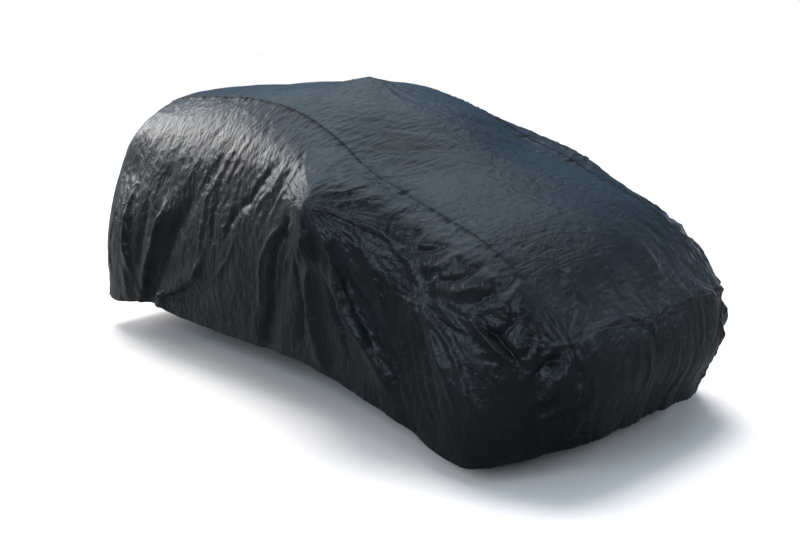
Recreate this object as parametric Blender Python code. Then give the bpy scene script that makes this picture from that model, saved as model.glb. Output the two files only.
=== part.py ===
"""Fitted cover for a small hatchback, in metres. +Z is up and the nose points to -Y.

Three cut panels of coated nylon make the cover: a long centre panel that runs from the hem in front of
the nose, over bonnet, windscreen and roof, down to the hem behind the tail, and one panel on each side.
They have the shape in which they stretch over the car: hollow, open underneath, drawn up into a peak by
each door mirror and by the aerial, and gathered in at the rear wheels.
"""

import bmesh
import bpy
import numpy as np

CLOTH = 0.0024          # thickness of a panel
SEAM_GAP = 0.0004       # between the edges of two panels along their seam

RIB_CELLS = 42          # along the side, from nose corner to tail corner
DROP_CELLS = 16         # down the side, from seam to hem
CROSS_CELLS = 12        # across the centre panel
RAIL_SHARE = 0.34       # how far from seam to shoulder the rail lies, where the cloth turns down
BELLY_SHARE = 0.45      # how far from shoulder to hem the cloth bellies out

# One rib of the cover at each row, from nose to tail. Half-widths are measured from the middle.
# centre: the line along the middle. seam: where centre and side panel join. shoulder: the hard line of
# the car below it. rail: how round the cloth turns between them, as a share of their distance.
# belly: how far it stands out between shoulder and hem. lift: how much higher the left seam is pulled.
RIB_COLUMNS = (
    "centre_y", "centre_z", "seam_x", "seam_y", "seam_z", "shoulder_x", "shoulder_y", "shoulder_z",
    "hem_x", "hem_y", "hem_z", "rail", "belly", "lift",
)
RIBS = {
    "nose edge": (-1.905, 0.61, 0.545, -1.870, 0.570, 0.520, -1.888, 0.42, 0.420, -1.820, 0.155, 0, 0, 0),
    "headlamp": (-1.825, 0.75, 0.570, -1.790, 0.700, 0.725, -1.785, 0.54, 0.660, -1.715, 0.125, 0.18, 0.015, 0),
    "front wing": (-1.640, 0.93, 0.590, -1.600, 0.868, 0.785, -1.650, 0.62, 0.830, -1.610, 0.095, 0.22, 0.03, 0.01),
    "front wheel": (-1.430, 1.055, 0.600, -1.390, 0.992, 0.832, -1.440, 0.715, 0.875, -1.450, 0.080, 0.22, 0.04, 0.02),
    "bonnet": (-1.160, 1.15, 0.610, -1.117, 1.084, 0.850, -1.190, 0.80, 0.862, -1.150, 0.150, 0.22, 0.02, 0.03),
    "scuttle": (-0.920, 1.235, 0.610, -0.872, 1.155, 0.890, -0.930, 0.93, 0.855, -0.880, 0.195, 0.20, 0.015, 0.04),
    "mirror": (-0.720, 1.315, 0.600, -0.640, 1.222, 0.930, -0.640, 1.06, 0.850, -0.610, 0.235, 0.12, 0, 0.05),
    "windscreen": (-0.430, 1.455, 0.572, -0.360, 1.352, 0.885, -0.390, 1.03, 0.850, -0.360, 0.258, 0.16, 0, 0.05),
    "roof front": (-0.080, 1.565, 0.543, -0.010, 1.468, 0.845, -0.030, 0.99, 0.855, -0.020, 0.256, 0.15, 0.015, 0.045),
    "front door": (0.350, 1.585, 0.535, 0.380, 1.520, 0.832, 0.390, 0.975, 0.858, 0.390, 0.248, 0.13, 0.025, 0.01),
    "rear door": (0.820, 1.565, 0.530, 0.840, 1.516, 0.832, 0.850, 0.975, 0.862, 0.830, 0.244, 0.13, 0.03, 0),
    "rear wheel": (1.180, 1.530, 0.525, 1.190, 1.492, 0.822, 1.260, 1.00, 0.882, 1.210, 0.262, 0.14, 0.05, 0),
    "roof rear": (1.390, 1.490, 0.520, 1.380, 1.448, 0.785, 1.520, 1.00, 0.888, 1.610, 0.200, 0.16, 0.06, 0),
    "tail corner": (1.580, 1.370, 0.545, 1.545, 1.290, 0.725, 1.755, 0.96, 0.800, 1.810, 0.215, 0.16, 0.04, 0),
    "tail edge": (1.730, 1.150, 0.570, 1.670, 1.090, 0.585, 1.835, 0.78, 0.560, 1.835, 0.250, 0, 0, 0),
}

# The middle of the two upright ends, from the bend at the top down to the hem.
NOSE_FACE = {"bend": (-1.905, 0.610), "grille": (-1.925, 0.420), "hem": (-1.855, 0.175)}
TAIL_FACE = {"bend": (1.730, 1.150), "hatch": (1.915, 0.740), "hem": (1.885, 0.255)}

# Hard points under the cloth that draw it up into a peak with straight flanks.
PEAK_COLUMNS = ("x", "y", "z", "reach")
PEAKS = {
    "right mirror": (-1.010, -0.620, 1.140, 0.50),
    "left mirror": (1.000, -0.650, 1.130, 0.50),
    "aerial": (0.000, 0.070, 1.640, 0.30),
}

# Main folds of the side panels, each a soft ridge (height above 0) or trough from one point to another.
FOLD_COLUMNS = ("from_y", "from_z", "to_y", "to_z", "width", "height")
RIGHT_FOLDS = {
    "wheel gather": (1.16, 0.27, 1.15, 0.36, 0.10, -0.030),
    "gather, upright ridge": (1.27, 0.30, 0.92, 0.86, 0.050, 0.016),
    "gather, deep trough": (1.11, 0.34, 0.66, 0.95, 0.060, -0.022),
    "gather, rear ridge": (1.40, 0.30, 1.34, 0.78, 0.050, 0.014),
    "gather, low ridge": (1.10, 0.30, 0.58, 0.58, 0.055, 0.018),
    "below the low ridge": (0.95, 0.33, 0.50, 0.46, 0.050, -0.012),
    "mirror, deep fold": (-0.34, 0.98, -0.06, 0.30, 0.060, -0.026),
    "mirror, upright ridge": (-0.45, 0.96, -0.53, 0.34, 0.055, 0.024),
    "mirror, narrow trough": (-0.37, 0.92, -0.37, 0.42, 0.040, -0.012),
    "mirror, wing ridge": (-0.60, 0.93, -1.02, 0.36, 0.060, 0.028),
    "wing crease": (-0.76, 0.88, -1.10, 0.38, 0.050, -0.018),
    "front wheel, long ridge": (-1.22, 0.74, -1.58, 0.36, 0.055, 0.020),
    "front wheel, trough": (-1.10, 0.66, -1.36, 0.20, 0.060, -0.016),
}
LEFT_FOLDS = {
    "wheel gather": (1.20, 0.27, 1.19, 0.36, 0.10, -0.028),
    "gather, upright ridge": (1.24, 0.32, 1.04, 0.84, 0.055, 0.018),
    "gather, deep trough": (1.12, 0.34, 0.80, 0.88, 0.060, -0.020),
    "gather, low ridge": (1.06, 0.32, 0.46, 0.50, 0.060, 0.016),
    "door fold": (0.18, 0.86, 0.10, 0.30, 0.070, -0.018),
    "mirror, upright ridge": (-0.52, 0.94, -0.44, 0.34, 0.060, 0.024),
    "mirror, deep fold": (-0.66, 0.90, -0.74, 0.34, 0.055, -0.022),
    "mirror, wing ridge": (-0.80, 0.90, -1.06, 0.40, 0.060, 0.024),
    "front wheel, long ridge": (-1.28, 0.72, -1.50, 0.30, 0.060, 0.020),
}
FOLDS_FROM = 0.62       # half-width at which folds begin, and at which they have their full height
FOLDS_FULL = 0.80

NYLON = (0.010, 0.013, 0.016, 1.0)
NYLON_ROUGHNESS = 0.42


def columns(table, names):
    """The table's columns as arrays, by name."""
    return dict(zip(names, np.array(list(table.values()), float).T))


def chords(points):
    """Running length along a row of points."""
    steps = np.linalg.norm(np.diff(points, axis=0), axis=1)
    return np.concatenate([[0.0], np.cumsum(steps)])


def unit(vectors):
    return vectors / np.linalg.norm(vectors, axis=-1, keepdims=True)


def mirrored(points):
    return points * np.array([-1.0, 1.0, 1.0])


def spline(points, knots, wanted):
    """A smooth curve through points, read at the wanted knots."""
    slopes = np.gradient(points, knots, axis=0)
    left = np.clip(np.searchsorted(knots, wanted, side="right") - 1, 0, len(knots) - 2)
    span = (knots[left + 1] - knots[left])[:, None]
    t = (wanted - knots[left])[:, None] / span
    return (
        (2 * t**3 - 3 * t**2 + 1) * points[left]
        + (t**3 - 2 * t**2 + t) * span * slopes[left]
        + (3 * t**2 - 2 * t**3) * points[left + 1]
        + (t**3 - t**2) * span * slopes[left + 1]
    )


def even_run(points, first, last, cells):
    """The curve through points, between two of them, cut into cells of even length."""
    knots = chords(points)
    fine = np.linspace(knots[first], knots[last], 40 * cells + 1)
    length = chords(spline(points, knots, fine))
    places = np.interp(np.linspace(0, length[-1], cells + 1), length, fine)
    return spline(points, knots, places)


def rib_points(lift):
    """Control points of one side: the centre line, and seam, rail, shoulder, belly and hem of each rib."""
    table = columns(RIBS, RIB_COLUMNS)
    zero = np.zeros(len(RIBS))
    centre = np.stack([zero, table["centre_y"], table["centre_z"]], axis=1)
    seam, shoulder, hem = (
        np.stack([table[f"{line}_{axis}"] for axis in "xyz"], axis=1)
        for line in ("seam", "shoulder", "hem")
    )
    seam[:, 2] += lift * table["lift"]
    shoulder[:, 2] += lift * table["lift"] / 2
    drop = shoulder - seam
    outward = np.stack([-drop[:, 2], zero, drop[:, 0]], axis=1)
    rail = seam + RAIL_SHARE * drop + table["rail"][:, None] * outward
    belly = shoulder + BELLY_SHARE * (hem - shoulder)
    belly[:, 0] += table["belly"]
    return centre, np.stack([seam, rail, shoulder, belly, hem], axis=1)


def half_cover(lift):
    """One side of the cover at +X: the side panel's points, and half of the centre panel's."""
    centre, ribs = rib_points(lift)
    last = ribs.shape[1]
    before = centre.copy()
    before[0], before[-1] = ribs[1, 0], ribs[-2, 0]
    drops = np.array([
        even_run(np.vstack([start, rib]), 1, last, DROP_CELLS) for start, rib in zip(before, ribs)
    ])
    faces = []
    for face, above in ((NOSE_FACE, centre[1]), (TAIL_FACE, centre[-2])):
        places = np.array([above] + [(0.0, y, z) for y, z in face.values()])
        faces.append(even_run(places, 1, len(places) - 1, DROP_CELLS))

    rows = np.concatenate([faces[0][None], drops, faces[1][None]])
    knots = np.mean([chords(rows[:, j]) for j in range(DROP_CELLS + 1)], axis=0)
    wanted = np.linspace(knots[1], knots[-2], RIB_CELLS + 1)
    side = np.stack([spline(rows[:, j], knots, wanted) for j in range(DROP_CELLS + 1)], axis=1)
    below = np.array([faces[0][2], faces[1][2]])
    ends = knots[[1, -2]] + np.array([-1, 1]) * np.linalg.norm(below - centre[[0, -1]], axis=1)
    middle = spline(
        np.concatenate([below[:1], centre, below[1:]]),
        np.concatenate([ends[:1], knots[1:-1], ends[1:]]),
        wanted,
    )

    stations = (
        list(zip(side[0, :0:-1], faces[0][:0:-1], side[1, :0:-1]))
        + list(zip(side[:, 0], middle, side[:, 1]))
        + list(zip(side[-1, 1:], faces[1][1:], side[-2, 1:]))
    )
    half = [
        even_run(np.array([mirrored(seam), crown, seam, beside]), 1, 2, CROSS_CELLS // 2)
        for seam, crown, beside in stations
    ]
    return side, np.array(half)


def raise_peaks(panels):
    """Draw the cloth up to the mirrors and the aerial."""
    for x, y, z, reach in PEAKS.values():
        tip = np.array([x, y, z])
        everything = np.concatenate([points.reshape(-1, 3) for points in panels.values()])
        under = everything[np.argmin(np.linalg.norm(everything - tip, axis=1))]
        for points in panels.values():
            near = np.clip(1 - np.linalg.norm(points - under, axis=-1) / reach, 0, 1)
            points += (near**1.4)[..., None] * (tip - under)


def press_folds(points, folds, outward):
    """Push a side panel in and out along its main folds."""
    across = np.clip((np.abs(points[..., 0]) - FOLDS_FROM) / (FOLDS_FULL - FOLDS_FROM), 0, 1)
    place = points[..., 1:].copy()
    for from_y, from_z, to_y, to_z, width, height in folds.values():
        start = np.array([from_y, from_z])
        run = np.array([to_y, to_z]) - start
        along = np.clip((place - start) @ run / (run @ run), 0, 1)
        away = np.linalg.norm(place - start - along[..., None] * run, axis=-1)
        points[..., 0] += outward * across * height * np.exp(-((away / width) ** 2))


def grid_normals(points):
    """Area-weighted normals at the points of one grid."""
    down = points[1:, :] - points[:-1, :]
    over = points[:, 1:] - points[:, :-1]
    normals = np.zeros_like(points)
    rows, cells = points.shape[:2]
    for i in (0, 1):
        for j in (0, 1):
            corner = np.cross(over[i:rows - 1 + i, :], down[:, j:cells - 1 + j])
            normals[i:rows - 1 + i, j:cells - 1 + j] += corner
    return normals


def shared_normals(panels):
    """Outward normals, the same on both sides of a seam, so that the panels' edges face each other."""
    normals = {name: grid_normals(points) for name, points in panels.items()}
    normals["right_side_panel"] *= -1
    sums = {}
    for name, points in panels.items():
        for place, normal in zip(points.reshape(-1, 3), normals[name].reshape(-1, 3)):
            key = tuple(np.round(place, 5))
            sums[key] = sums.get(key, 0) + normal
    return {
        name: unit(np.array([sums[tuple(np.round(place, 5))] for place in points.reshape(-1, 3)]))
        .reshape(points.shape)
        for name, points in panels.items()
    }


def trim_seam(points, normals, outward):
    """Draw a side panel's seam edges back from the centre panel by the seam gap."""
    trimmed = points.copy()
    seam = np.concatenate([points[0, :0:-1], points[:, 0], points[-1, 1:]])
    facing = np.concatenate([normals[0, :0:-1], normals[:, 0], normals[-1, 1:]])
    inward = SEAM_GAP * outward * unit(np.cross(np.gradient(seam, axis=0), facing))
    drop = points.shape[1] - 1
    trimmed[0, :0:-1] += inward[:drop]
    trimmed[:, 0] += inward[drop:-drop]
    trimmed[-1, 1:] += inward[-drop:]
    return trimmed


def sheet(name, outside, normals, material, flip):
    """One closed sheet of cloth from a grid of points on its outer face."""
    rows, cells = outside.shape[:2]
    shape = bmesh.new()
    outer, inner = (
        [[shape.verts.new(place) for place in row] for row in layer]
        for layer in (outside, outside - CLOTH * normals)
    )

    def face(*corners):
        shape.faces.new(corners[::-1] if flip else corners)

    for i in range(rows - 1):
        for j in range(cells - 1):
            # both faces of the cloth split a cell along the same, shorter diagonal, so they never cross
            corners = [(i, j), (i, j + 1), (i + 1, j + 1), (i + 1, j)]
            spans = [np.linalg.norm(outside[corners[k + 2]] - outside[corners[k]]) for k in (0, 1)]
            if spans[1] < spans[0]:
                corners = corners[1:] + corners[:1]
            for three in (corners[:3], [corners[0]] + corners[2:]):
                face(*(outer[row][cell] for row, cell in three))
                face(*(inner[row][cell] for row, cell in reversed(three)))
    for i in range(rows - 1):
        face(outer[i][0], outer[i + 1][0], inner[i + 1][0], inner[i][0])
        face(outer[i + 1][-1], outer[i][-1], inner[i][-1], inner[i + 1][-1])
    for j in range(cells - 1):
        face(outer[0][j + 1], outer[0][j], inner[0][j], inner[0][j + 1])
        face(outer[-1][j], outer[-1][j + 1], inner[-1][j + 1], inner[-1][j])
    mesh = bpy.data.meshes.new(name)
    shape.to_mesh(mesh)
    shape.free()
    mesh.shade_smooth()
    mesh.materials.append(material)
    panel = bpy.data.objects.new(name, mesh)
    bpy.context.scene.collection.objects.link(panel)
    return panel


def coated_nylon():
    material = bpy.data.materials.new("coated nylon")
    material.use_nodes = True
    shader = material.node_tree.nodes["Principled BSDF"]
    shader.inputs["Base Color"].default_value = NYLON
    shader.inputs["Roughness"].default_value = NYLON_ROUGHNESS
    shader.inputs["Metallic"].default_value = 0.0
    return material


def main():
    for old in list(bpy.data.objects):
        bpy.data.objects.remove(old)

    left, left_half = half_cover(lift=1)
    right, right_half = half_cover(lift=0)
    panels = {
        "centre_panel": np.concatenate([mirrored(right_half[:, :0:-1]), left_half], axis=1),
        "left_side_panel": left,
        "right_side_panel": mirrored(right),
    }
    raise_peaks(panels)
    press_folds(panels["left_side_panel"], LEFT_FOLDS, 1)
    press_folds(panels["right_side_panel"], RIGHT_FOLDS, -1)

    everything = np.concatenate([points.reshape(-1, 3) for points in panels.values()])
    low, high = everything.min(axis=0), everything.max(axis=0)
    stand = np.array([(low[0] + high[0]) / 2, (low[1] + high[1]) / 2, low[2]])
    for points in panels.values():
        points -= stand

    normals = shared_normals(panels)
    nylon = coated_nylon()
    for name, points in panels.items():
        if name != "centre_panel":
            points = trim_seam(points, normals[name], -1 if name == "right_side_panel" else 1)
        sheet(name, points, normals[name], nylon, flip=name == "right_side_panel")


main()
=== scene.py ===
import math

import bmesh
import bpy
import numpy as np
from mathutils import Euler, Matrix, Vector, kdtree, noise


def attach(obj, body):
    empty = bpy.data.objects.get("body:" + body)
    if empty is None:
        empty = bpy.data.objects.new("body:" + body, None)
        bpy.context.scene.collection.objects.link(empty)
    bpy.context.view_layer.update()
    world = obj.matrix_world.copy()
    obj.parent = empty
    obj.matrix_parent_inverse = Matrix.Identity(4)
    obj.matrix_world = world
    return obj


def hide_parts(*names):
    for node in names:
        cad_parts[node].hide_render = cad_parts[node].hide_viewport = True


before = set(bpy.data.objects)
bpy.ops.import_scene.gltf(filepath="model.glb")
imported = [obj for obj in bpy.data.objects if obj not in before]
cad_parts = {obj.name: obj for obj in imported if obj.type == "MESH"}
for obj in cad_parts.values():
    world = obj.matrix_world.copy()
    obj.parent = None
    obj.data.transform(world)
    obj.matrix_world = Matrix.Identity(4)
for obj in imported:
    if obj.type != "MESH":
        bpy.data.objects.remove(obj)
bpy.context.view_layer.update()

# the same ribs as the CAD panels: centre line, seam, shoulder and hem, nose to tail
ribNames = ("centreY", "centreZ", "seamX", "seamY", "seamZ", "shoulderX", "shoulderY", "shoulderZ",
            "hemX", "hemY", "hemZ", "rail", "belly", "lift")
ribs = {
    "noseEdge": (-1.905, 0.61, 0.545, -1.870, 0.570, 0.520, -1.888, 0.42,
        0.420, -1.820, 0.155, 0, 0, 0),
    "headlamp": (-1.825, 0.75, 0.570, -1.790, 0.700, 0.725, -1.785, 0.54,
        0.660, -1.715, 0.125, 0.18, 0.015, 0),
    "frontWing": (-1.640, 0.93, 0.590, -1.600, 0.868, 0.785, -1.650, 0.62,
        0.830, -1.610, 0.095, 0.22, 0.03, 0.01),
    "frontWheel": (-1.430, 1.055, 0.600, -1.390, 0.992, 0.832, -1.440, 0.715,
        0.875, -1.450, 0.080, 0.22, 0.04, 0.02),
    "bonnet": (-1.160, 1.15, 0.610, -1.117, 1.084, 0.850, -1.190, 0.80,
        0.862, -1.150, 0.150, 0.22, 0.02, 0.03),
    "scuttle": (-0.920, 1.235, 0.610, -0.872, 1.155, 0.890, -0.930, 0.93,
        0.855, -0.880, 0.195, 0.20, 0.015, 0.04),
    "mirror": (-0.720, 1.315, 0.600, -0.640, 1.222, 0.930, -0.640, 1.06,
        0.850, -0.610, 0.235, 0.12, 0, 0.05),
    "windscreen": (-0.430, 1.455, 0.572, -0.360, 1.352, 0.885, -0.390, 1.03,
        0.850, -0.360, 0.258, 0.16, 0, 0.05),
    "roofFront": (-0.080, 1.565, 0.543, -0.010, 1.468, 0.845, -0.030, 0.99,
        0.855, -0.020, 0.256, 0.15, 0.015, 0.045),
    "frontDoor": (0.350, 1.585, 0.535, 0.380, 1.520, 0.832, 0.390, 0.975,
        0.858, 0.390, 0.248, 0.13, 0.025, 0.01),
    "rearDoor": (0.820, 1.565, 0.530, 0.840, 1.516, 0.832, 0.850, 0.975,
        0.862, 0.830, 0.244, 0.13, 0.03, 0),
    "rearWheel": (1.180, 1.530, 0.525, 1.190, 1.492, 0.822, 1.260, 1.00,
        0.882, 1.210, 0.262, 0.14, 0.05, 0),
    "roofRear": (1.390, 1.490, 0.520, 1.380, 1.448, 0.785, 1.520, 1.00,
        0.888, 1.610, 0.200, 0.16, 0.06, 0),
    "tailCorner": (1.580, 1.370, 0.545, 1.545, 1.290, 0.725, 1.755, 0.96,
        0.800, 1.810, 0.215, 0.16, 0.04, 0),
    "tailEdge": (1.730, 1.150, 0.570, 1.670, 1.090, 0.585, 1.835, 0.78,
        0.560, 1.835, 0.250, 0, 0, 0),
}
noseFace = {"bend": (-1.905, 0.610), "grille": (-1.925, 0.420), "hem": (-1.855, 0.175)}
tailFace = {"bend": (1.730, 1.150), "hatch": (1.915, 0.740), "hem": (1.885, 0.255)}
peaks = {  # x, y, z, reach
    "rightMirror": (-1.010, -0.620, 1.140, 0.50),
    "leftMirror": (1.000, -0.650, 1.130, 0.50),
    "aerial": (0.000, 0.070, 1.640, 0.30),
}
rightFolds = {  # from y, z to y, z, width, height
    "wheelGather": (1.16, 0.27, 1.15, 0.36, 0.10, -0.030),
    "gatherUpright": (1.27, 0.30, 0.92, 0.86, 0.050, 0.016),
    "gatherTrough": (1.11, 0.34, 0.66, 0.95, 0.060, -0.022),
    "gatherRear": (1.40, 0.30, 1.34, 0.78, 0.050, 0.014),
    "gatherLow": (1.10, 0.30, 0.58, 0.58, 0.055, 0.018),
    "belowLow": (0.95, 0.33, 0.50, 0.46, 0.050, -0.012),
    "mirrorDeep": (-0.34, 0.98, -0.06, 0.30, 0.060, -0.026),
    "mirrorUpright": (-0.45, 0.96, -0.53, 0.34, 0.055, 0.024),
    "mirrorNarrow": (-0.37, 0.92, -0.37, 0.42, 0.040, -0.012),
    "mirrorWing": (-0.60, 0.93, -1.02, 0.36, 0.060, 0.028),
    "wingCrease": (-0.76, 0.88, -1.10, 0.38, 0.050, -0.018),
    "wheelLong": (-1.22, 0.74, -1.58, 0.36, 0.055, 0.020),
    "wheelTrough": (-1.10, 0.66, -1.36, 0.20, 0.060, -0.016),
}
leftFolds = {
    "wheelGather": (1.20, 0.27, 1.19, 0.36, 0.10, -0.028),
    "gatherUpright": (1.24, 0.32, 1.04, 0.84, 0.055, 0.018),
    "gatherTrough": (1.12, 0.34, 0.80, 0.88, 0.060, -0.020),
    "gatherLow": (1.06, 0.32, 0.46, 0.50, 0.060, 0.016),
    "doorFold": (0.18, 0.86, 0.10, 0.30, 0.070, -0.018),
    "mirrorUpright": (-0.52, 0.94, -0.44, 0.34, 0.060, 0.024),
    "mirrorDeep": (-0.66, 0.90, -0.74, 0.34, 0.055, -0.022),
    "mirrorWing": (-0.80, 0.90, -1.06, 0.40, 0.060, 0.024),
    "wheelLong": (-1.28, 0.72, -1.50, 0.30, 0.060, 0.020),
}
cut = {
    "railShare": 0.34, "bellyShare": 0.45,      # where rail and belly lie on a rib
    "foldsFrom": 0.62, "foldsFull": 0.80,       # half-widths between which the folds set in
    "thickness": 0.0012,
    "along": 376, "down": 126, "across": 104, "face": 42,   # cells of the finished sheets
    "cadAlong": 42, "cadDown": 16, "cadAcross": 12,         # and of the CAD panels
    "runSamples": 641, "peakFall": 1.4,
}


def ribColumns():
    return dict(zip(ribNames, np.array(list(ribs.values()), float).T))


def chords(points):
    steps = np.linalg.norm(np.diff(points, axis=0), axis=1)
    return np.concatenate([[0.0], np.cumsum(steps)])


def unit(vectors):
    return vectors / np.maximum(np.linalg.norm(vectors, axis=-1, keepdims=True), 1e-12)


def mirrored(points):
    return points * np.array([-1.0, 1.0, 1.0])


def spline(points, knots, wanted):
    slopes = np.gradient(points, knots, axis=0)
    left = np.clip(np.searchsorted(knots, wanted, side="right") - 1, 0, len(knots) - 2)
    shape = (-1,) + (1,) * (points.ndim - 1)
    span = (knots[left + 1] - knots[left]).reshape(shape)
    t = (wanted - knots[left]).reshape(shape) / span
    return (
        (2 * t**3 - 3 * t**2 + 1) * points[left] + (t**3 - 2 * t**2 + t) * span * slopes[left]
        + (3 * t**2 - 2 * t**3) * points[left + 1] + (t**3 - t**2) * span * slopes[left + 1]
    )


def evenRun(points, first, last, cells):
    knots = chords(points)
    fine = np.linspace(knots[first], knots[last], cut["runSamples"])
    length = chords(spline(points, knots, fine))
    return spline(points, knots, np.interp(np.linspace(0, length[-1], cells + 1), length, fine))


def ribPoints(lift):
    col = ribColumns()
    zero = np.zeros(len(ribs))
    centre = np.stack([zero, col["centreY"], col["centreZ"]], axis=1)
    seam, shoulder, hem = (
        np.stack([col[f"{line}{axis}"] for axis in "XYZ"], axis=1) for line in ("seam", "shoulder", "hem")
    )
    seam[:, 2] += lift * col["lift"]
    shoulder[:, 2] += lift * col["lift"] / 2
    drop = shoulder - seam
    outward = np.stack([-drop[:, 2], zero, drop[:, 0]], axis=1)
    rail = seam + cut["railShare"] * drop + col["rail"][:, None] * outward
    belly = shoulder + cut["bellyShare"] * (hem - shoulder)
    belly[:, 0] += col["belly"]
    return centre, np.stack([seam, rail, shoulder, belly, hem], axis=1)


def halfCover(lift, along, down, across, face):
    centre, control = ribPoints(lift)
    last = control.shape[1]
    before = centre.copy()
    before[0], before[-1] = control[1, 0], control[-2, 0]
    drops = np.array([evenRun(np.vstack([b, rib]), 1, last, down) for b, rib in zip(before, control)])
    faces = []
    for rows, above in ((noseFace, centre[1]), (tailFace, centre[-2])):
        places = np.array([above] + [(0.0, y, z) for y, z in rows.values()])
        faces.append(evenRun(places, 1, len(places) - 1, down))
    rows = np.concatenate([faces[0][None], drops, faces[1][None]])
    knots = np.mean([chords(rows[:, j]) for j in range(down + 1)], axis=0)
    wanted = np.linspace(knots[1], knots[-2], along + 1)
    side = spline(rows, knots, wanted)
    below = np.array([faces[0][2], faces[1][2]])
    ends = knots[[1, -2]] + np.array([-1, 1]) * np.linalg.norm(below - centre[[0, -1]], axis=1)
    middle = spline(np.concatenate([below[:1], centre, below[1:]]),
                    np.concatenate([ends[:1], knots[1:-1], ends[1:]]), wanted)
    pick = np.linspace(0, down, face + 1)       # fewer rows down the two upright ends of the centre panel
    rowsAt = np.arange(down + 1.0)

    def fewer(points):
        return spline(points, rowsAt, pick)

    noseSeam, noseCrown, noseBeside = fewer(side[0]), fewer(faces[0]), fewer(side[1])
    tailSeam, tailCrown, tailBeside = fewer(side[-1]), fewer(faces[1]), fewer(side[-2])
    stations = (list(zip(noseSeam[:0:-1], noseCrown[:0:-1], noseBeside[:0:-1]))
                + list(zip(side[:, 0], middle, side[:, 1]))
                + list(zip(tailSeam[1:], tailCrown[1:], tailBeside[1:])))
    half = [evenRun(np.array([mirrored(s), c, s, b]), 1, 2, across // 2) for s, c, b in stations]
    return side, np.array(half)


def coverPanels(along, down, across, face):
    left, leftHalf = halfCover(1, along, down, across, face)
    right, rightHalf = halfCover(0, along, down, across, face)
    return {
        "centre": np.concatenate([mirrored(rightHalf[:, :0:-1]), leftHalf], axis=1),
        "left": left,
        "right": mirrored(right),
    }


def allPoints(panels):
    return np.concatenate([points.reshape(-1, 3) for points in panels.values()])


def raisePeaks(panels, unders):
    for (x, y, z, reach), under in zip(peaks.values(), unders):
        for points in panels.values():
            near = np.clip(1 - np.linalg.norm(points - under, axis=-1) / reach, 0, 1)
            points += (near ** cut["peakFall"])[..., None] * (np.array([x, y, z]) - under)


def pressFolds(points, folds, outward):
    span = cut["foldsFull"] - cut["foldsFrom"]
    across = np.clip((np.abs(points[..., 0]) - cut["foldsFrom"]) / span, 0, 1)
    place = points[..., 1:].copy()
    for fromY, fromZ, toY, toZ, width, height in folds.values():
        start = np.array([fromY, fromZ])
        run = np.array([toY, toZ]) - start
        share = np.clip((place - start) @ run / (run @ run), 0, 1)
        away = np.linalg.norm(place - start - share[..., None] * run, axis=-1)
        points[..., 0] += outward * across * height * np.exp(-((away / width) ** 2))


def drapedPanels():
    coarse = coverPanels(cut["cadAlong"], cut["cadDown"], cut["cadAcross"], cut["cadDown"])
    unders = []                                 # where each peak lifts the cloth from
    for x, y, z, reach in peaks.values():
        everything = allPoints(coarse)
        unders.append(everything[np.argmin(np.linalg.norm(everything - (x, y, z), axis=1))])
    panels = coverPanels(cut["along"], cut["down"], cut["across"], cut["face"])
    for some in (coarse, panels):
        raisePeaks(some, unders)
        pressFolds(some["left"], leftFolds, 1)
        pressFolds(some["right"], rightFolds, -1)
    low, high = allPoints(coarse).min(axis=0), allPoints(coarse).max(axis=0)
    return panels, np.array([(low[0] + high[0]) / 2, (low[1] + high[1]) / 2, low[2]])


def gridNormals(points, facing=1):
    over = np.gradient(points, axis=1)
    down = np.gradient(points, axis=0)
    return facing * unit(np.cross(over, down))


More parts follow.
